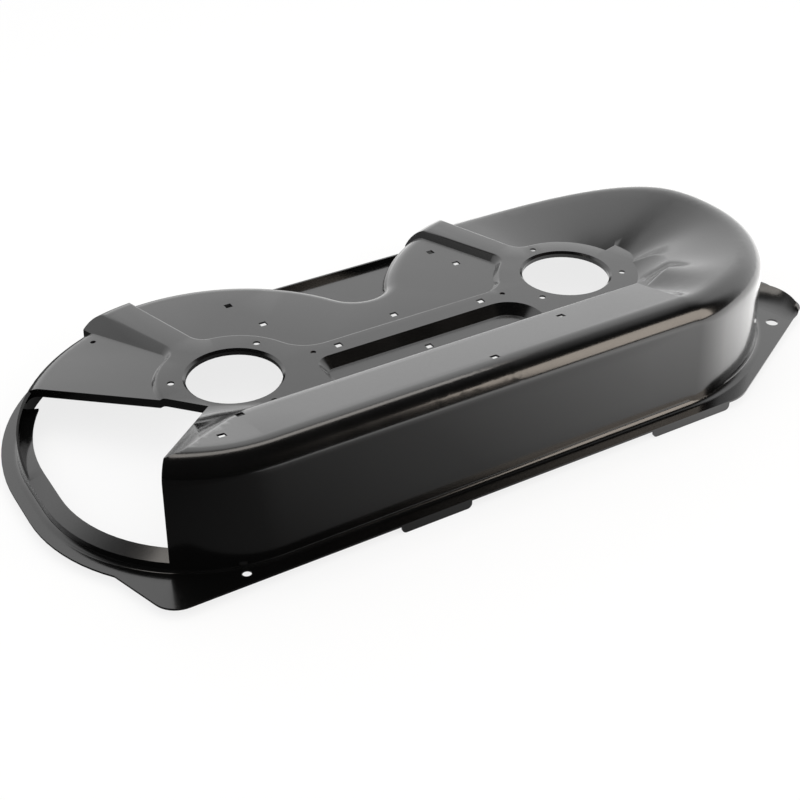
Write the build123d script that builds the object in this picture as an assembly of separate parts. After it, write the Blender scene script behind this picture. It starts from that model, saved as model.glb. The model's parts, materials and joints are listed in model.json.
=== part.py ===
from build123d import *
import os
from math import asin, atan2, cos, degrees, hypot, pi, radians, sin, sqrt, tan

# Mower deck: one deep-drawn sheet-steel shell for two blades, discharge on the left.
# Modelled with the left spindle at x = y = 0, the right spindle on +X, the front on -Y
# and the underside of the flange at z = 0. Heights "over plate" count from the spindle plate.

# Sheet and levels
sheet = 2.5
plate_height = 66.0
cover_drop = 8.0
wall_draft = 3.0
rear_roll = 25.0
front_roll = 27.5
step_slope = 45.0
step_depth = 20.0

# Plan of the wall at its foot
spindle_spacing = 480.0
front_reach = 254.0
right_lobe_y = -6.5
left_lobe_x = -9.0
left_lobe_y = -6.0
left_lobe_radius = 249.0
left_corner_radius = 195.0
notch_radius = 34.5

# Front tunnel and the way its roof falls round the right lobe.
# Heights over plate at the front, the right and the rear of the lobe.
tunnel_width = 166.0
crown_heights = (69.0, 51.0, -16.0)
roof_heights = (44.5, -1.0, -16.0)
roof_radius = 105.0
bowl_foot = 96.0
flank_angle = 45.0
crest_round = 12.0
lobe_end_angle = 107.0
lobe_stations = 12

# Spindle plate: rings, spine and arms
left_ring_radius = 90.0
right_ring_radius = 87.0
right_pad_radius = 108.0
right_pad_end = 15.0
spine_rear = 10.0
arm_root_width = 33.0
arm_tip_width = 40.0
arm_tip_radius = 215.0
left_arm_angle = 107.0
left_arm_offset = 5.8
right_arm_angle = 110.5
right_arm_offset = 0.0
arm_blend = 25.0
spine_blend = 50.0
step_round = 5.0

# Sloping cover on the discharge side, heights over plate
left_cover_x = -100.0
left_cover_y = 20.0
left_cover_height = -5.5
left_cover_slope = 5.4
left_cover_heading = 128.0
left_cover_start = 60.0
left_cover_side = 160.0

# Belt groove in front of the spine
groove_depth = 12.0
groove_left = 105.0
groove_right_gap = 100.0
groove_rear = -31.0
groove_left_round = 10.0
groove_right_round = 30.0

# Discharge opening: two cuts that meet at the apex beside the left ring
apex_x = -53.0
apex_y = -44.0
lip_angle = 132.0
tunnel_cut_angle = 233.3
cut_slope = 19.1
cut_start = 20.0
lip_depth = 11.0
rim_height = 14.0
rim_slope = 11.5
rim_lip_width = 18.0
rim_lip_rise = 5.0

# Flange, with the tab beyond the right lobe and the hangers along the front edge.
# Places along X are a share of the spindle spacing and a distance from there.
lobe_flange = 19.0
front_flange = 19.0
apron_angle = 197.5
corner_round = 30.0
tab_start = 70.0
tab_start_round = 60.0
tab_reach = 44.5
tab_tip_y = -148.0
tab_end_y = -75.0
tab_round = 28.0
rear_land = 5.0
rear_lip = 10.0
hanger_depth = 9.5
hanger_round = 6.0
hangers = [(0, 65, 155), (1, -68, 50)]

# Holes
spindle_hole = 114.0
collar_depth = 8.0
collar_chamfer = 3.0
bolt_circle = 148.0
bolt_hole = 8.7
bolts_per_spindle = 3
left_bolt_angle = 43.0
right_bolt_angle = 90.0
square_hole = 9.0
cover_squares = [(0, 69, 162), (0, 87, 99), (1, -114, 152), (1, -101, 108), (0.5, -1.5, 35)]
plate_squares = [(0, 137, -4.5), (1, -137, -4.5)]
groove_squares = [(0.5, 0, -46.5)]
tunnel_squares = [(0.5, -19.5, 42), (1, -132, 91.5), (0, -61, 105), (0, -99, 67)]
dimples = [(0, 103, -3.5), (1, -103, -3.5)]
dimple_size = 7.0
dimple_depth = 1.5
left_cover_hole = (-105.5, 183.5)
left_cover_hole_size = 7.0
corner_hole = (-113, 3)
corner_hole_size = 10.5
tab_hole = (225, -160)
tab_hole_size = 16.0

# Values that follow from the sizes above
ground = -1.0
ceiling = plate_height + max(crown_heights) + front_roll
tunnel_back = front_reach - tunnel_width
left_centre = (left_lobe_x, left_lobe_y)
right_centre = (spindle_spacing, right_lobe_y)
right_lobe_radius = front_reach + right_lobe_y
left_side = left_lobe_x - left_lobe_radius
left_corner = (left_side + left_corner_radius, left_corner_radius - front_reach)
rear_edge = left_lobe_y + left_lobe_radius + rear_land
groove_right = spindle_spacing - groove_right_gap
far = 2 * front_reach
step_run = tan(radians(step_slope / 2))


def polar(centre, radius, angle):
    """Point at a distance and an angle from a centre, in plan."""
    return (centre[0] + radius * cos(radians(angle)), centre[1] + radius * sin(radians(angle)))


def place(share, distance):
    """Place along X, counted from a share of the spindle spacing."""
    return share * spindle_spacing + distance


def prism(outline, bottom, top):
    """Upright prism over a plan face."""
    return extrude(Pos(0, 0, bottom) * outline, top - bottom)


def polygon(*points):
    """Plan face with straight sides."""
    return make_face(Polyline(*points, close=True))


def notch_centre():
    """Centre of the rear notch's arc, which touches both lobes."""
    reach_left = left_lobe_radius + notch_radius
    reach_right = right_lobe_radius + notch_radius
    dx = right_centre[0] - left_centre[0]
    dy = right_centre[1] - left_centre[1]
    span = hypot(dx, dy)
    along = (reach_left**2 - reach_right**2 + span**2) / (2 * span)
    rise = sqrt(reach_left**2 - along**2)
    return (
        left_centre[0] + (along * dx - rise * dy) / span,
        left_centre[1] + (along * dy + rise * dx) / span,
    )


def wall_plan(inset):
    """Plan of the wall at its foot, moved inwards."""
    notch = notch_centre()
    right_end = degrees(atan2(notch[1] - right_centre[1], notch[0] - right_centre[0]))
    left_end = degrees(atan2(notch[1] - left_centre[1], notch[0] - left_centre[0]))
    front_y = inset - front_reach
    left_x = left_side + inset
    return make_face(
        [
            Line((left_corner[0], front_y), (right_centre[0], front_y)),
            CenterArc(right_centre, right_lobe_radius - inset, -90, right_end + 90),
            CenterArc(notch, notch_radius + inset, right_end - 180, left_end - right_end),
            CenterArc(left_centre, left_lobe_radius - inset, left_end, 180 - left_end),
            Line((left_x, left_lobe_y), (left_x, left_corner[1])),
            CenterArc(left_corner, left_corner_radius - inset, 180, 90),
        ]
    )


def cover(top, inset):
    """Wall and top up to a plane, with the rim rolled over."""
    skirt = extrude(wall_plan(inset), ceiling, taper=wall_draft)
    body = split(skirt, bisect_by=top.offset(-inset), keep=Keep.BOTTOM)
    rim = body.faces().sort_by_distance(top.offset(-inset).origin)[0]
    return fillet(rim.edges(), rear_roll - inset)


def sloping(x, y, height, slope, heading):
    """Plane through a point, falling by an angle towards a heading."""
    fall = (sin(radians(slope)) * cos(radians(heading)), sin(radians(slope)) * sin(radians(heading)))
    return Plane((x, y, height), z_dir=(*fall, cos(radians(slope))))


def arm_plan(spindle, angle, offset):
    """Plan of one arm, which widens from its ring to beyond the rim."""
    flare = (arm_tip_width - arm_root_width) / 2 / (arm_tip_radius - left_ring_radius)
    root = arm_root_width / 2 - flare * left_ring_radius
    tip = root + flare * far
    sides = polygon((0, -root), (far, -tip), (far, tip), (0, root))
    return Pos(*spindle) * Rot(0, 0, angle) * Pos(0, -offset) * sides


def pad_plan():
    """Plan of the flat to the front and right of the right ring."""
    centre = (spindle_spacing, 0)
    arc = CenterArc(centre, right_pad_radius, -120, right_pad_end + 120)
    return make_face([arc, Polyline(arc @ 1, centre, arc @ 0)])


def plate_plan():
    """Plan of the raised plate: rings, spine, arms and the flats towards the tunnel."""
    strip = polygon(
        (apex_x - tunnel_back, -tunnel_back - step_depth),
        (spindle_spacing, -tunnel_back - step_depth),
        (spindle_spacing, spine_rear),
        (apex_x, spine_rear),
        (apex_x, apex_y),
        (apex_x - tunnel_back, apex_y),
    )
    plan = Circle(left_ring_radius) + Pos(spindle_spacing, 0) * Circle(right_ring_radius)
    plan += strip + pad_plan()
    plan += arm_plan((0, 0), left_arm_angle, left_arm_offset)
    plan += arm_plan((spindle_spacing, 0), right_arm_angle, right_arm_offset)
    inner = plan.vertices().filter_by(lambda v: 0 < v.Y < arm_tip_radius and v.X < spindle_spacing)
    plan = fillet(inner.filter_by(lambda v: v.Y > 2 * spine_rear), arm_blend)
    spine = plan.vertices().filter_by(lambda v: abs(v.Y - spine_rear) < 0.01)
    return fillet(spine.filter_by(lambda v: 0 < v.X < spindle_spacing), spine_blend)


def plate(inset):
    """Raised plate with sloping sides, rolled over at the rim with the rest."""
    top = plate_height - inset
    plan = plate_plan()
    if inset:
        plan = offset(plan, -inset * step_run)
    raised = extrude(Pos(0, 0, top) * plan, -step_depth, taper=-step_slope)
    foot = raised.faces().sort_by(Axis.Z)[0]
    if not inset:
        raised = fillet(raised.faces().sort_by(Axis.Z)[-1].edges(), step_round)
    raised += extrude(foot, top - step_depth - ground, dir=(0, 0, -1))
    return raised & cover(Plane((0, 0, plate_height)), inset)


def falling(angle, heights):
    """Height that falls from the front of the right lobe past its right side to its rear."""
    front, side, rear = heights
    if angle < 0:
        return side + (front - side) * sin(radians(-angle))
    return rear + (side - rear) * max(0, cos(radians(angle))) ** 2


def meet(first, second):
    """Crossing of two lines, each a point and a direction angle."""
    (x1, y1, a1), (x2, y2, a2) = first, second
    along = ((x2 - x1) * sin(a2) - (y2 - y1) * cos(a2)) / sin(a2 - a1)
    return (x1 + along * cos(a1), y1 + along * sin(a1))


def tunnel_section(angle, inset):
    """Upright section of the tunnel, from the right lobe's centre outwards."""
    turn = min(1, max(0, (angle + 90) / 90))
    foot = tunnel_back + right_lobe_y
    foot += (bowl_foot - foot) * turn
    flank = radians(flank_angle)
    draft = radians(wall_draft)
    roof = plate_height + falling(angle, roof_heights)
    roll_height = plate_height + falling(angle, crown_heights) - front_roll
    roll_radius = right_lobe_radius - roll_height * tan(draft) - front_roll / cos(draft)
    rise = roll_height - roof
    run = roll_radius - roof_radius
    slope = atan2(rise, run) + asin(front_roll / hypot(rise, run))
    lean = pi / 2 + draft
    flank_line = (foot + inset * sin(flank), plate_height - inset * cos(flank), flank)
    roof_line = (roof_radius + inset * sin(slope), roof - inset * cos(slope), slope)
    wall_line = (right_lobe_radius - inset * sin(lean), inset * cos(lean), lean)
    crest = meet(flank_line, roof_line)
    low = meet(flank_line, (0, min(plate_height, crest[1]) - step_depth, 0))
    rim = meet(roof_line, wall_line)
    heel = meet(wall_line, (0, ground, 0))
    face = polygon((low[0], ground), low, crest, rim, heel)
    face = fillet(face.vertices().sort_by_distance((*crest, 0))[0], crest_round - inset)
    return fillet(face.vertices().sort_by_distance((*rim, 0))[0], front_roll - inset)


def section_plane(centre, angle):
    """Upright plane through a centre, its first axis outwards."""
    out = (cos(radians(angle)), sin(radians(angle)), 0)
    return Plane((*centre, 0), x_dir=out, z_dir=(out[1], -out[0], 0))


def tunnel(inset):
    """Tunnel falling round the right lobe, along the front and round the left corner."""
    stations = [-90 + (lobe_end_angle + 90) * k / (lobe_stations - 1) for k in range(lobe_stations)]
    lobe = loft([section_plane(right_centre, a) * tunnel_section(a, inset) for a in stations])
    front = lobe.faces().filter_by(Plane.YZ)[0]
    length = right_centre[0] - left_corner[0]
    straight = extrude(front, length, dir=(-1, 0, 0))
    corner = revolve(Pos(-length) * front, Axis((*left_corner, 0), (0, 0, -1)), 90)
    return tunnel_end(lobe + straight + corner, inset)


def facet(point, inset):
    """Plane along the straight cut edge of the tunnel and through one more point."""
    apex = Vector(apex_x, apex_y, plate_height)
    along = Vector(*polar((0, 0), 1, tunnel_cut_angle), tan(radians(cut_slope)))
    normal = (Vector(*point) - apex).cross(along)
    return Plane(apex, z_dir=normal * (1 if normal.Z > 0 else -1)).offset(-inset)


def tunnel_end(whole, inset):
    """Tunnel with its left end flattened towards the straight edge of the opening."""
    foot = (cut_start, -tunnel_back, plate_height)
    roof = plate_height + roof_heights[0]
    crest_y = right_lobe_y - roof_radius
    apex = (apex_x, apex_y)
    far_end = polar(apex, tunnel_width, tunnel_cut_angle)
    beyond = polygon((cut_start, apex_y), (cut_start, -far), (-far, -far), (-far, apex_y))
    upper = facet((cut_start, crest_y, roof), inset)
    above = split(prism(beyond, ground, 2 * ceiling), bisect_by=upper, keep=Keep.TOP)
    fill = prism(polygon(apex, far_end, foot[:2]), ground, ceiling)
    return whole - above + split(fill, bisect_by=facet(foot, inset), keep=Keep.BOTTOM)


def groove(inset):
    """Belt groove in front of the spine, as the body that is cut away."""
    spread = inset * step_run
    floor = plate_height - groove_depth - inset
    plan = polygon(
        (groove_left - spread, groove_rear + spread),
        (groove_left - spread, -tunnel_back - step_depth),
        (groove_right + spread, -tunnel_back - step_depth),
        (groove_right + spread, groove_rear + spread),
    )
    rear_left = (groove_left - spread, groove_rear + spread, 0)
    rear_right = (groove_right + spread, groove_rear + spread, 0)
    plan = fillet(plan.vertices().sort_by_distance(rear_left)[0], groove_left_round + spread)
    plan = fillet(plan.vertices().sort_by_distance(rear_right)[0], groove_right_round + spread)
    return extrude(Pos(0, 0, floor) * plan, groove_depth + step_round, taper=-step_slope)


def body(inset):
    """Everything under the outer or the inner skin, solid down to the ground."""
    level = cover(Plane((0, 0, plate_height - cover_drop)), inset)
    left_height = plate_height + left_cover_height
    fall = sloping(left_cover_x, left_cover_y, left_height, left_cover_slope, left_cover_heading)
    left = cover(fall, inset)
    between = polygon(
        (0, 0),
        polar((0, 0), far, left_arm_angle),
        polar((spindle_spacing, 0), far, right_arm_angle),
        (spindle_spacing, 0),
    )
    edge = polar((0, 0), left_cover_start, left_cover_side)
    ahead = Pos(*edge) * Rot(0, 0, left_cover_side) * Pos(far, 0) * Rectangle(2 * far, 4 * far)
    ahead = ahead & Pos(0, left_corner[1] + far) * Rectangle(4 * far, 2 * far)
    top = prism(between, ground, ceiling) & level
    top += prism(ahead, ground, ceiling) & left
    top += plate(inset)
    return top - groove(inset) + tunnel(inset)


def opening_plan():
    """Plan of the discharge opening, between the lip and the end of the tunnel."""
    apex = (apex_x, apex_y)
    return polygon(apex, polar(apex, far, lip_angle), (-far, 0), polar(apex, far, tunnel_cut_angle))


def opening():
    """Space of the discharge opening, its low rim rising towards the rear."""
    rise = sloping(left_side, left_lobe_y, rim_height, rim_slope, -90)
    return split(prism(opening_plan(), rim_height, ceiling), bisect_by=rise, keep=Keep.TOP)


def rolled_lip(outer):
    """Edge of the cover along the opening, turned down, from inside the sheet to inside the wall."""
    strip = Pos(apex_x, apex_y) * Rot(0, 0, lip_angle) * Pos(far / 2, -sheet / 2) * Rectangle(far, sheet)
    inside = wall_plan(sheet / 2 + (plate_height - rear_roll) * tan(radians(wall_draft)))
    skin = Pos(0, 0, -sheet / 2) * outer
    return (prism(strip & inside, ground, ceiling) & skin) - Pos(0, 0, -lip_depth) * outer


def rim_lip():
    """Top of the low wall under the opening, turned inwards."""
    wall_x = left_side + rim_height * tan(radians(wall_draft))
    inner_x = wall_x + rim_lip_width
    profile = Plane.XZ * polygon(
        (wall_x, rim_height - sheet),
        (inner_x, rim_height + rim_lip_rise - sheet),
        (inner_x, rim_height + rim_lip_rise),
        (wall_x, rim_height),
    )
    rear_face = Pos(0, left_lobe_y) * profile
    corner_face = Pos(0, left_corner[1]) * profile
    strip = revolve(rear_face, Axis((*left_centre, 0), (0, 0, -1)), 90)
    strip += extrude(rear_face, left_lobe_y - left_corner[1], dir=(0, -1, 0))
    strip += revolve(corner_face, Axis((*left_corner, 0), (0, 0, 1)), 90)
    return strip & prism(opening_plan(), 0, ceiling)


def flange_plan():
    """Plan of the flange: narrow round the lobes, wider along the front and at both ends."""
    front_y = -front_reach - front_flange
    side = polar(left_centre, left_lobe_radius + lobe_flange, apron_angle)
    corner = meet((*side, radians(apron_angle + 90)), (0, front_y, 0))
    lobe_side = (right_centre[0] + right_lobe_radius, right_lobe_y)
    corners = [
        (corner, corner_round),
        ((spindle_spacing + tab_start, front_y), tab_start_round),
        ((lobe_side[0] + tab_reach, tab_tip_y), tab_round),
        ((lobe_side[0] + tab_reach, tab_end_y), tab_round),
    ]
    apron = polygon((0, 0), side, *[point for point, _ in corners], lobe_side)
    for point, radius in corners:
        apron = fillet(apron.vertices().sort_by_distance((*point, 0))[0], radius)
    rear = polygon(left_centre, right_centre, (right_centre[0], rear_edge), (left_centre[0], rear_edge))
    return wall_plan(-lobe_flange) + apron + rear


def bar(x1, x2, y1, y2, z1, z2):
    """Block between two corners."""
    return prism(polygon((x1, y1), (x2, y1), (x2, y2), (x1, y2)), z1, z2)


def hanger(x1, x2):
    """Tab turned down from the front edge, with soft ends."""
    face = polygon((x1, sheet), (x1, -hanger_depth), (x2, -hanger_depth), (x2, sheet))
    low = face.vertices().filter_by(lambda v: v.Y < 0)
    front = Plane((0, -front_reach - front_flange, 0), x_dir=(1, 0, 0), z_dir=(0, -1, 0))
    return extrude(front * fillet(low, hanger_round), -sheet)


def flange(inner):
    """Flange plate with its turned-up rear edge and the hangers."""
    notch = notch_centre()
    ring = left_lobe_radius + lobe_flange
    rear_half = sqrt(ring**2 - (rear_edge - left_lobe_y) ** 2)
    start = left_lobe_x + rear_half
    end = 2 * notch[0] - start
    plate_ring = prism(flange_plan(), 0, sheet) + bar(start, end, rear_edge - sheet, rear_edge, 0, rear_lip)
    for share, x1, x2 in hangers:
        plate_ring += hanger(place(share, x1), place(share, x2))
    return plate_ring - inner


def hole(x, y, size, bottom, top):
    """Round hole along Z."""
    return Pos(x, y, (bottom + top) / 2) * Cylinder(size / 2, top - bottom)


def square(x, y, bottom, top):
    """Square hole along Z for a carriage bolt."""
    return Pos(x, y, (bottom + top) / 2) * Box(square_hole, square_hole, top - bottom)


def punch(shell):
    """Collared spindle holes and all the punched holes."""
    low = plate_height - step_depth
    spindles = [((0, 0), left_bolt_angle), ((spindle_spacing, 0), right_bolt_angle)]
    for (x, y), first in spindles:
        shell += hole(x, y, spindle_hole + 2 * sheet, plate_height - collar_depth, plate_height)
        shell -= hole(x, y, spindle_hole, low, ceiling)
        for k in range(bolts_per_spindle):
            at = polar((x, y), bolt_circle / 2, first + 360 * k / bolts_per_spindle)
            shell -= hole(*at, bolt_hole, low, ceiling)
    mouths = shell.edges().filter_by(GeomType.CIRCLE).filter_by(
        lambda e: abs(e.radius - spindle_hole / 2) < 0.01 and abs(e.center().Z - plate_height) < 0.01
    )
    shell = chamfer(mouths, collar_chamfer)
    for share, x, y in cover_squares + plate_squares + groove_squares:
        shell -= square(place(share, x), y, low, ceiling)
    for share, x, behind in tunnel_squares:
        shell -= square(place(share, x), behind - front_reach, plate_height, ceiling)
    for share, x, y in dimples:
        shell -= hole(place(share, x), y, dimple_size, plate_height - dimple_depth, ceiling)
    shell -= hole(*left_cover_hole, left_cover_hole_size, sheet, ceiling)
    shell -= hole(corner_hole[0], -front_reach - corner_hole[1], corner_hole_size, ground, 2 * sheet)
    shell -= hole(place(1, tab_hole[0]), tab_hole[1], tab_hole_size, ground, 2 * sheet)
    return shell


def deck_shell():
    """The whole pressing, with its origin under the middle of its box."""
    outer = body(0)
    inner = body(sheet)
    shell = outer - inner - bar(-far, 2 * far, -far, far, 2 * ground, 0) + flange(inner)
    shell -= opening()
    shell += rolled_lip(outer) + rim_lip()
    shell = punch(shell)
    box = shell.bounding_box()
    return Pos(-box.center().X, -box.center().Y, -box.min.Z) * shell


os.makedirs("parts", exist_ok=True)
export_step(deck_shell(), "parts/deck_shell.step")
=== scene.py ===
# %% [markdown]
# A mower deck is one big steel pressing. Its shape comes from the CAD model, so this lesson is about
# the finish: welding the CAD triangles into one smooth skin, adding two small forms that catch the light,
# and giving it all gloss black stoved paint. The frame is loaded first, and its box is kept, because the
# finished model has to stay inside it.

# %% Load the CAD frame
import json
from math import cos, pi, radians, sin, tan

import bmesh
import bpy
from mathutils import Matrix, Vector


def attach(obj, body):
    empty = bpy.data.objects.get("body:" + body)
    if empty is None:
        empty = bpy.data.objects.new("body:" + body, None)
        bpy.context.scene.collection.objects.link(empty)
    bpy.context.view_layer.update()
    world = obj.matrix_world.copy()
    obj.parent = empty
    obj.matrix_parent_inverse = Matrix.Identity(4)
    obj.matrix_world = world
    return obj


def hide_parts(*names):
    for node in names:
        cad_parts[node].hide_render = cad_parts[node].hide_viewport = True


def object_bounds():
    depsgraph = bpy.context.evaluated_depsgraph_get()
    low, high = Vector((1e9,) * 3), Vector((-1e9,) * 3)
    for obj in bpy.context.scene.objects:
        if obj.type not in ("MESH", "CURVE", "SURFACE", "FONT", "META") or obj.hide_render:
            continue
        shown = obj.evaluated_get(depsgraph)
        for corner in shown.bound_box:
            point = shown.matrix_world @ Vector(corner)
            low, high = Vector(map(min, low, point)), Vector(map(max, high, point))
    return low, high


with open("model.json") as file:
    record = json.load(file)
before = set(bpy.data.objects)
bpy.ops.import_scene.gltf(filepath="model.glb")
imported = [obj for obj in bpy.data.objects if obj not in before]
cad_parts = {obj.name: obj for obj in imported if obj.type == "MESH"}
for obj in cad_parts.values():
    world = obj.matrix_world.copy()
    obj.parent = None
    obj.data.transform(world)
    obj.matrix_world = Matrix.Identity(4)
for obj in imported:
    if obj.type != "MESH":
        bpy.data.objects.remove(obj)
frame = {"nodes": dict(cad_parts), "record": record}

cad_box = [list(corner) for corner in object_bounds()]
scene = bpy.context.scene
print("CAD box in metres:", cad_box)

# %% [markdown]
# Colours are written as the hex values that a paint chart or a picture editor shows. Blender's shaders
# work with linear light, so one function turns the hex value into linear numbers.

# %% Colour helper


def paint_chart(hex_value):
    """Linear RGBA from an sRGB hex value."""
    channels = [int(hex_value[i : i + 2], 16) / 255 for i in (1, 3, 5)]
    linear = [c / 12.92 if c <= 0.04045 else ((c + 0.055) / 1.055) ** 2.4 for c in channels]
    return (*linear, 1.0)


def add_node(tree, kind, inputs=None, **settings):
    """One node with its settings; an input is a value, or an output socket to link from."""
    node = tree.nodes.new(kind)
    for name, value in settings.items():
        setattr(node, name, value)
    for name, value in (inputs or {}).items():
        if isinstance(value, bpy.types.NodeSocket):
            tree.links.new(value, node.inputs[name])
        else:
            node.inputs[name].default_value = value
    return node


def paint_stops(ramp, stops):
    """Colour ramp from pairs of place and grey."""
    while len(ramp.elements) < len(stops):
        ramp.elements.new(0.5)
    for element, (place, grey) in zip(ramp.elements, stops):
        element.position = place
        element.color = (grey, grey, grey, 1.0)


print("deep black of the paint:", [round(c, 4) for c in paint_chart("#070707")])

# %% [markdown]
# The camera stands where the photographer stood: in front of the deck, a little to its left, and above it.
# Its place was found from the holes and edges of the picture, in multiples of the spindle spacing, so it
# is set out here from the left spindle hole, whose place the record gives.

# %% Camera
mounts = {mount["name"]: mount for mount in frame["record"]["mounts"]}
left_spindle = Vector(mounts["left_spindle_bolts"]["pos_m"])
right_spindle = Vector(mounts["right_spindle_bolts"]["pos_m"])
spacing = (right_spindle - left_spindle).length
stand = Vector((-1.16907, -2.71987, 1.89225))
heading = 0.542764
tilt = 0.590498
focal_pixels = 1434.22
picture_pixels = 800
sensor_width = 36.0

camera_data = bpy.data.cameras.new("photo_camera")
camera_data.sensor_width = sensor_width
camera_data.lens = focal_pixels / picture_pixels * sensor_width
camera_data.clip_end = 50.0
camera = bpy.data.objects.new("photo_camera", camera_data)
camera.location = left_spindle + spacing * stand
camera.rotation_euler = (pi / 2 - tilt, 0.0, -heading)
scene.collection.objects.link(camera)
scene.camera = camera
print("camera at", [round(c, 3) for c in camera.location], "lens", round(camera_data.lens, 2), "mm")

# %% [markdown]
# The floor is one pale sheet of paper. The camera sees it as white with a faint shadow, as a studio picture is
# finished.
# What the paint mirrors is painted shade and light: a grey ramp along X paints the paper in shade on the left of
# the deck and better lit on the right, so it is a mid grey that grows lighter along X, and for reflected rays it
# also glows with that ramp.

# %% Floor
reach = 12.0
floor_gap = 0.0005
shadow_share = 0.2
painted_reflection_glow = 1.4
# Painted shade and light on the paper: a grey ramp along X, darker on the left of the deck and lighter on the
# right.
shade_left, shade_right = -0.6, 0.8
painted_shade_stops = [(0.0, 0.01), (0.2, 0.03), (0.4, 0.13), (0.6, 0.35), (0.8, 0.68), (1.0, 0.55)]

floor_mesh = bpy.data.meshes.new("floor")
floor_mesh.from_pydata(
    [(-reach, -reach, 0), (reach, -reach, 0), (reach, reach, 0), (-reach, reach, 0)], [], [(0, 1, 2, 3)]
)
floor = bpy.data.objects.new("floor", floor_mesh)
scene.collection.objects.link(floor)
floor.location.z = cad_box[0][2] - floor_gap

floor_paper = bpy.data.materials.new("pale_studio_paper")
floor_paper.use_nodes = True
tree = floor_paper.node_tree
tree.nodes.clear()
spot = add_node(tree, "ShaderNodeTexCoord")
across = add_node(tree, "ShaderNodeSeparateXYZ", {"Vector": spot.outputs["Object"]})
along = add_node(
    tree,
    "ShaderNodeMapRange",
    {"Value": across.outputs["X"], "From Min": shade_left, "From Max": shade_right},
)
shade = add_node(tree, "ShaderNodeValToRGB", {"Fac": along.outputs["Result"]})
paint_stops(shade.color_ramp, painted_shade_stops)
# Painted reflection: for glossy rays the paper glows with its own grey ramp, so the paint mirrors it brighter.
floor_path = add_node(tree, "ShaderNodeLightPath")
glow = add_node(
    tree, "ShaderNodeMath", {0: floor_path.outputs["Is Glossy Ray"], 1: painted_reflection_glow}, operation="MULTIPLY"
)
paper = add_node(
    tree,
    "ShaderNodeBsdfPrincipled",
    {
        "Base Color": shade.outputs["Color"],
        "Roughness": 0.9,
        "Specular IOR Level": 0.1,
        "Emission Color": shade.outputs["Color"],
        "Emission Strength": glow.outputs["Value"],
    },
)
sheet_seen = add_node(
    tree,
    "ShaderNodeBsdfPrincipled",
    {"Base Color": paint_chart("#f4f4f4"), "Roughness": 0.9, "Specular IOR Level": 0.1},
)
bleach = add_node(tree, "ShaderNodeEmission", {"Color": (1.0, 1.0, 1.0, 1.0), "Strength": 1.0})
picture = add_node(
    tree, "ShaderNodeMixShader", {"Fac": shadow_share, 1: bleach.outputs[0], 2: sheet_seen.outputs["BSDF"]}
)
both = add_node(
    tree,
    "ShaderNodeMixShader",
    {"Fac": floor_path.outputs["Is Camera Ray"], 1: paper.outputs["BSDF"], 2: picture.outputs["Shader"]},
)
add_node(tree, "ShaderNodeOutputMaterial", {"Surface": both.outputs["Shader"]})
floor_mesh.materials.append(floor_paper)
print("floor at z =", round(floor.location.z, 4), "with", len(painted_shade_stops), "shades along X")

# %% [markdown]
# Gloss black shows what stands round it more than its own colour. Behind the deck stands a white backdrop,
# up to about head height; the ceiling and the side where the camera stands are dark. So flat faces look
# grey, faces that lean back look bright, and a rounded front edge shows the dark room as a black stripe.
# The world is painted in that way: by height, and by how far a direction turns to the backdrop.

# %% World
world = bpy.data.worlds.new("white_studio")
scene.world = world
world.use_nodes = True
tree = world.node_tree
tree.nodes.clear()
direction = add_node(tree, "ShaderNodeTexCoord")
axes = add_node(tree, "ShaderNodeSeparateXYZ", {"Vector": direction.outputs["Generated"]})
walls = add_node(tree, "ShaderNodeValToRGB", {"Fac": axes.outputs["Z"]})
wall_stops = [(0.0, 1.0), (0.3, 1.0), (0.56, 1.0), (0.72, 1.0), (0.8, 0.5), (0.86, 0.1), (0.92, 0.0)]
paint_stops(walls.color_ramp, wall_stops)
backdrop_way = (0.35, 0.937, 0.0)
turned_away, turned_to = -0.05, 0.3
turned = add_node(
    tree, "ShaderNodeVectorMath", {0: direction.outputs["Generated"], 1: backdrop_way}, operation="DOT_PRODUCT"
)
facing = add_node(
    tree,
    "ShaderNodeMapRange",
    {"Value": turned.outputs["Value"], "From Min": turned_away, "From Max": turned_to},
    interpolation_type="SMOOTHSTEP",
)
path = add_node(tree, "ShaderNodeLightPath")
room = add_node(
    tree, "ShaderNodeBackground", {"Color": walls.outputs["Color"], "Strength": facing.outputs["Result"]}
)
white = add_node(tree, "ShaderNodeBackground", {"Color": (1.0, 1.0, 1.0, 1.0), "Strength": 1.0})
seen = add_node(
    tree, "ShaderNodeMixShader", {"Fac": path.outputs["Is Glossy Ray"], 1: white.outputs[0], 2: room.outputs[0]}
)
add_node(tree, "ShaderNodeOutputWorld", {"Surface": seen.outputs["Shader"]})
print("world stops:", len(wall_stops))

# %% [markdown]
# Two lamps draw the light lines of the picture. A strip hangs over the rear half of the deck, and the top
# of the rolled edge mirrors it as a thin line above the black stripe. A tall softbox stands in front on
# the right, and the lower part of the roll mirrors it there as a broad band.

# %% Softboxes


def softbox(name, place, aim, width, height, radiance, tint):
    """Area lamp at a place, facing a point, hidden from the camera."""
    lamp = bpy.data.lights.new(name, "AREA")
    lamp.shape = "RECTANGLE"
    lamp.size = width
    lamp.size_y = height
    lamp.energy = pi * width * height * radiance
    lamp.color = paint_chart(tint)[:3]
    holder = bpy.data.objects.new(name, lamp)
    holder.location = place
    holder.rotation_euler = (Vector(place) - Vector(aim)).to_track_quat("Z", "Y").to_euler()
    holder.visible_camera = False
    scene.collection.objects.link(holder)
    return holder


ceiling_strip = softbox(
    "ceiling_strip", (0.05, 0.35, 1.65), (0.05, 0.35, 0.0), width=1.6, height=0.42, radiance=2.4, tint="#fff9f2"
)
front_box = softbox(
    "front_softbox", (2.1, -2.5, 1.35), (0.3, -0.2, 0.1), width=1.2, height=2.0, radiance=3.6, tint="#fff2e4"
)
print("softboxes at", [[round(c, 2) for c in lamp.location] for lamp in (ceiling_strip, front_box)])

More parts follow.
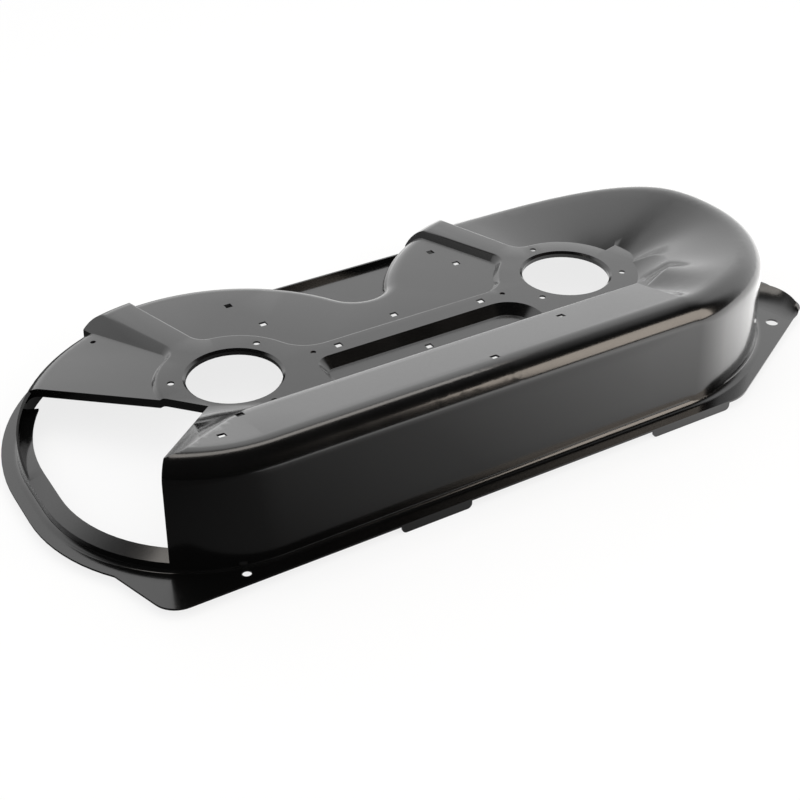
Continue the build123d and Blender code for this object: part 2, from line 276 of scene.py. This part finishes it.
# %% [markdown]
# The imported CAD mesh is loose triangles, which would show every facet in gloss paint. A copy is welded
# along its seams and shaded smooth, while real corners stay sharp. The rule is the same for every edge,
# so a small geometry node tree does it, with the weld distance and the corner angle as its inputs.

# %% Weld tree
weld = bpy.data.node_groups.new("weld_pressing", "GeometryNodeTree")
weld.interface.new_socket("Geometry", in_out="INPUT", socket_type="NodeSocketGeometry")
weld.interface.new_socket("Weld distance", in_out="INPUT", socket_type="NodeSocketFloat")
weld.interface.new_socket("Corner angle", in_out="INPUT", socket_type="NodeSocketFloat")
weld.interface.new_socket("Paint", in_out="INPUT", socket_type="NodeSocketMaterial")
weld.interface.new_socket("Geometry", in_out="OUTPUT", socket_type="NodeSocketGeometry")
given = add_node(weld, "NodeGroupInput")
merged = add_node(
    weld,
    "GeometryNodeMergeByDistance",
    {"Geometry": given.outputs["Geometry"], "Distance": given.outputs["Weld distance"]},
)
smooth = add_node(
    weld,
    "GeometryNodeSetShadeSmooth",
    {"Geometry": merged.outputs["Geometry"], "Shade Smooth": True},
    domain="FACE",
)
bend = add_node(weld, "GeometryNodeInputMeshEdgeAngle")
corner = add_node(
    weld,
    "FunctionNodeCompare",
    {"A": bend.outputs["Unsigned Angle"], "B": given.outputs["Corner angle"]},
    data_type="FLOAT",
    operation="GREATER_THAN",
)
sharp = add_node(
    weld,
    "GeometryNodeSetShadeSmooth",
    {"Geometry": smooth.outputs["Geometry"], "Selection": corner.outputs["Result"], "Shade Smooth": False},
    domain="EDGE",
)
real = add_node(weld, "GeometryNodeRealizeInstances", {"Geometry": sharp.outputs["Geometry"]})
dressed = add_node(
    weld, "GeometryNodeSetMaterial", {"Geometry": real.outputs["Geometry"], "Material": given.outputs["Paint"]}
)
add_node(weld, "NodeGroupOutput", {"Geometry": dressed.outputs["Geometry"]})
sockets = {item.name: item.identifier for item in weld.interface.items_tree if item.in_out == "INPUT"}
print("weld tree nodes:", len(weld.nodes))

# %% [markdown]
# Stoved gloss black: a thin hard enamel, baked on the primed steel. It flows out almost flat, and leaves
# a faint orange peel a few millimetres wide. The eye sees deep black with clear, slightly soft mirror
# images, and a little more haze where dust settled before baking.

# %% Stoved paint
paint = bpy.data.materials.new("stoved_gloss_black_enamel")
paint.use_nodes = True
tree = paint.node_tree
tree.nodes.clear()
place = add_node(tree, "ShaderNodeTexCoord")
mm_per_metre = 1000.0
peel_width = 4.0
haze_width = 60.0
peel = add_node(
    tree,
    "ShaderNodeTexNoise",
    {"Vector": place.outputs["Object"], "Scale": mm_per_metre / peel_width, "Detail": 2.0, "Roughness": 0.5},
)
haze = add_node(
    tree,
    "ShaderNodeTexNoise",
    {"Vector": place.outputs["Object"], "Scale": mm_per_metre / haze_width, "Detail": 5.0, "Roughness": 0.6},
)
gloss = add_node(
    tree,
    "ShaderNodeMapRange",
    {"Value": haze.outputs["Fac"], "From Min": 0.3, "From Max": 0.7, "To Min": 0.17, "To Max": 0.24},
)
flow = add_node(
    tree, "ShaderNodeBump", {"Height": peel.outputs["Fac"], "Strength": 0.02, "Distance": 0.0002}
)
enamel = add_node(
    tree,
    "ShaderNodeBsdfPrincipled",
    {
        "Base Color": paint_chart("#070707"),
        "Roughness": gloss.outputs["Result"],
        "IOR": 1.5,
        "Coat Weight": 1.0,
        "Coat Roughness": 0.12,
        "Coat IOR": 1.5,
        "Normal": flow.outputs["Normal"],
    },
)
add_node(tree, "ShaderNodeOutputMaterial", {"Surface": enamel.outputs["BSDF"]})
print("paint nodes:", len(tree.nodes))

# %% [markdown]
# The welded copy takes the paint and stands for the CAD node, which stays hidden behind it for physics.

# %% Deck skin
weld_distance = 0.00002
corner_angle = radians(32)

raw = frame["nodes"]["deck_shell"]
draft = bpy.data.objects.new("deck_skin_draft", raw.data.copy())
scene.collection.objects.link(draft)
modifier = draft.modifiers.new("weld", "NODES")
modifier.node_group = weld
modifier[sockets["Weld distance"]] = weld_distance
modifier[sockets["Corner angle"]] = corner_angle
modifier[sockets["Paint"]] = paint
graph = bpy.context.evaluated_depsgraph_get()
skin_mesh = bpy.data.meshes.new_from_object(draft.evaluated_get(graph))
bpy.data.objects.remove(draft)
skin_mesh.name = "deck_skin"
skin = bpy.data.objects.new("deck_skin", skin_mesh)
scene.collection.objects.link(skin)
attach(skin, "root")
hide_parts("deck_shell")
print("deck skin:", len(skin_mesh.vertices), "points,", len(skin_mesh.polygons), "faces")

# %% [markdown]
# The wall does not meet the flange in a sharp corner: the die leaves a hollow round, which catches one
# long thin line of light along the foot. It follows the wall's plan, so a curve is drawn along the foot
# and a geometry node tree sweeps a quarter arc along it. The round is small beside the hole at the front
# corner, so every point of the curve carries its own radius.

# %% Path of the foot
sheet = 2.5
wall_draft = 3.0
plate_over_flange = 66.0
round_lift = 0.03
degrees_per_point = 3


def foot_arc(centre, radius, first, last, sizes):
    """Points along an arc of the wall's foot, each with the size of its round."""
    count = max(2, int(abs(last - first) / degrees_per_point))
    points = []
    for k in range(count + 1):
        angle = radians(first + (last - first) * k / count)
        size = sizes[0] + (sizes[1] - sizes[0]) * k / count
        reach = radius - sheet * tan(radians(wall_draft))
        points.append((centre[0] + reach * cos(angle), centre[1] + reach * sin(angle), size))
    return points


foot = foot_arc(centre=(-9, -6), radius=249, first=140, last=180, sizes=(3, 8))
foot += foot_arc(centre=(-63, -59), radius=195, first=180, last=240, sizes=(8, 3.5))
foot += foot_arc(centre=(-63, -59), radius=195, first=243, last=270, sizes=(3.5, 5))
foot += foot_arc(centre=(480, -6.5), radius=247.5, first=-90, last=75, sizes=(9, 9))
foot_curve = bpy.data.curves.new("foot_path", "CURVE")
foot_curve.dimensions = "3D"
line = foot_curve.splines.new("POLY")
line.points.add(len(foot) - 1)
for point, (x, y, size) in zip(line.points, foot):
    place_on_flange = left_spindle + Vector((x, y, sheet + round_lift - plate_over_flange)) / mm_per_metre
    point.co = (*place_on_flange, 1.0)
    point.radius = size
foot_path = bpy.data.objects.new("foot_path", foot_curve)
scene.collection.objects.link(foot_path)
print("foot path points:", len(foot))

# %% [markdown]
# The tree turns a quarter arc into a strip along the path. The arc's middle stands off both the wall and the
# flange by the radius, and the strip is turned over at the end, so that its faces look out of the corner.

# %% Sweep tree for the foot
sweep = bpy.data.node_groups.new("sweep_foot_round", "GeometryNodeTree")
sweep.interface.new_socket("Geometry", in_out="INPUT", socket_type="NodeSocketGeometry")
sweep.interface.new_socket("Unit radius", in_out="INPUT", socket_type="NodeSocketFloat")
sweep.interface.new_socket("Sweep angle", in_out="INPUT", socket_type="NodeSocketFloat")
sweep.interface.new_socket("Paint", in_out="INPUT", socket_type="NodeSocketMaterial")
sweep.interface.new_socket("Geometry", in_out="OUTPUT", socket_type="NodeSocketGeometry")
given = add_node(sweep, "NodeGroupInput")
upright = add_node(sweep, "GeometryNodeSetCurveNormal", {"Curve": given.outputs["Geometry"]}, mode="Z_UP")
arc = add_node(
    sweep,
    "GeometryNodeCurveArc",
    {
        "Resolution": 10,
        "Radius": given.outputs["Unit radius"],
        "Start Angle": radians(90),
        "Sweep Angle": given.outputs["Sweep angle"],
    },
)
wall_share = (1 - sin(radians(wall_draft))) / cos(radians(wall_draft))
lift = add_node(
    sweep,
    "ShaderNodeVectorMath",
    {0: given.outputs["Unit radius"], 1: (wall_share, -1.0, 0.0)},
    operation="MULTIPLY",
)
corner_arc = add_node(
    sweep, "GeometryNodeTransform", {"Geometry": arc.outputs["Curve"], "Translation": lift.outputs["Vector"]}
)
own_size = add_node(sweep, "GeometryNodeInputRadius")
strip = add_node(
    sweep,
    "GeometryNodeCurveToMesh",
    {
        "Curve": upright.outputs["Curve"],
        "Profile Curve": corner_arc.outputs["Geometry"],
        "Scale": own_size.outputs["Radius"],
    },
)
strip_out = add_node(sweep, "GeometryNodeFlipFaces", {"Mesh": strip.outputs["Mesh"]})
strip_smooth = add_node(
    sweep,
    "GeometryNodeSetShadeSmooth",
    {"Geometry": strip_out.outputs["Mesh"], "Shade Smooth": True},
    domain="FACE",
)
strip_real = add_node(sweep, "GeometryNodeRealizeInstances", {"Geometry": strip_smooth.outputs["Geometry"]})
strip_dressed = add_node(
    sweep,
    "GeometryNodeSetMaterial",
    {"Geometry": strip_real.outputs["Geometry"], "Material": given.outputs["Paint"]},
)
add_node(sweep, "NodeGroupOutput", {"Geometry": strip_dressed.outputs["Geometry"]})
sweep_sockets = {item.name: item.identifier for item in sweep.interface.items_tree if item.in_out == "INPUT"}
print("sweep tree nodes:", len(sweep.nodes))

# %% [markdown]
# The sizes along the path are in millimetres, so the arc itself has a radius of one millimetre. It stops short
# of a quarter turn by the wall's draft. The path is only a helper and is removed once the strip is made.

# %% Foot round
modifier = foot_path.modifiers.new("sweep", "NODES")
modifier.node_group = sweep
modifier[sweep_sockets["Unit radius"]] = 1 / mm_per_metre
modifier[sweep_sockets["Sweep angle"]] = radians(90 - wall_draft)
modifier[sweep_sockets["Paint"]] = paint
graph = bpy.context.evaluated_depsgraph_get()
round_mesh = bpy.data.meshes.new_from_object(foot_path.evaluated_get(graph))
bpy.data.objects.remove(foot_path)
round_mesh.name = "foot_round"
foot_round = bpy.data.objects.new("foot_round", round_mesh)
scene.collection.objects.link(foot_round)
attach(foot_round, "root")
heights = [point.co.z for point in round_mesh.vertices]
print("foot round: z", round(min(heights), 4), "to", round(max(heights), 4))

# %% [markdown]
# The outer end of the right tab is turned up into a rounded lip. It leaves the flange along a fold beside the
# tab's hole and rises in a hollow round to its outer edge. Both lines are given in plan by a few stations, with
# the height of the edge, and a smooth curve is drawn through them.

# %% Lip stations
lip_stations = [
    ((710, -113), (742, -80), 12.5),
    ((716.6, -124.7), (751.2, -93), 12),
    ((721.4, -135.5), (758.7, -105.4), 11.5),
    ((724.8, -149.1), (762.5, -118.9), 10.5),
    ((726.4, -161.6), (762.4, -133.6), 9.5),
    ((733, -168.5), (759.6, -146.8), 7.5),
    ((747, -163.5), (754.3, -158.7), 3),
]


def smooth_row(place):
    """Fold, edge and height at a place along the stations, on a smooth curve through them."""
    first = min(int(place), len(lip_stations) - 2)
    t = place - first
    flat = [(*fold, *edge, height) for fold, edge, height in lip_stations]
    before, start, end, after = (flat[min(max(k, 0), len(flat) - 1)] for k in range(first - 1, first + 3))
    return [
        b + 0.5 * t * (c - a + t * (2 * a - 5 * b + 4 * c - d + t * (3 * (b - c) + d - a)))
        for a, b, c, d in zip(before, start, end, after)
    ]


print("lip stations:", len(lip_stations))

# %% [markdown]
# The upper face is a grid from the fold to the edge, whose height grows with the square of the way, so it leaves
# the flange without a crease. A second grid lies just inside the flange, and narrow faces close the sides.

# %% Lip mesh
lip_columns = 12
rows_per_span = 6
lip_lift = 0.06
lip_root = 0.5
sharp_corner = radians(40)

lip = bmesh.new()
upper, lower = [], []
for i in range((len(lip_stations) - 1) * rows_per_span + 1):
    fold_x, fold_y, edge_x, edge_y, rise = smooth_row(i / rows_per_span)
    for side, lifted in ((upper, 1), (lower, 0)):
        row = []
        for j in range(lip_columns + 1):
            share = j / lip_columns
            height = sheet - plate_over_flange + (lip_lift + rise * share**2 if lifted else -lip_root)
            away = Vector((fold_x + (edge_x - fold_x) * share, fold_y + (edge_y - fold_y) * share, height))
            row.append(lip.verts.new(left_spindle + away / mm_per_metre))
        side.append(row)
for side in (upper, lower):
    for one, two in zip(side, side[1:]):
        for j in range(lip_columns):
            lip.faces.new((one[j], one[j + 1], two[j + 1], two[j]))
for i in range(len(upper) - 1):
    for j in (0, lip_columns):
        lip.faces.new((upper[i][j], upper[i + 1][j], lower[i + 1][j], lower[i][j]))
for j in range(lip_columns):
    for i in (0, -1):
        lip.faces.new((upper[i][j], upper[i][j + 1], lower[i][j + 1], lower[i][j]))
bmesh.ops.recalc_face_normals(lip, faces=lip.faces)
for face in lip.faces:
    face.smooth = True
for edge in lip.edges:
    edge.smooth = edge.calc_face_angle(0.0) < sharp_corner
lip_mesh = bpy.data.meshes.new("tab_lip")
lip.to_mesh(lip_mesh)
lip.free()
print("lip mesh:", len(lip_mesh.polygons), "faces")

# %% [markdown]
# The lip is part of the same pressing, so it wears the same paint and rides on the same body.

# %% Tab lip
lip_mesh.materials.append(paint)
tab_lip = bpy.data.objects.new("tab_lip", lip_mesh)
scene.collection.objects.link(tab_lip)
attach(tab_lip, "root")
print("pieces of the finished deck:", [piece.name for piece in (skin, foot_round, tab_lip)])

# %% [markdown]
# Standard view keeps white white.

# %% Finish
scene.view_settings.view_transform = "Standard"
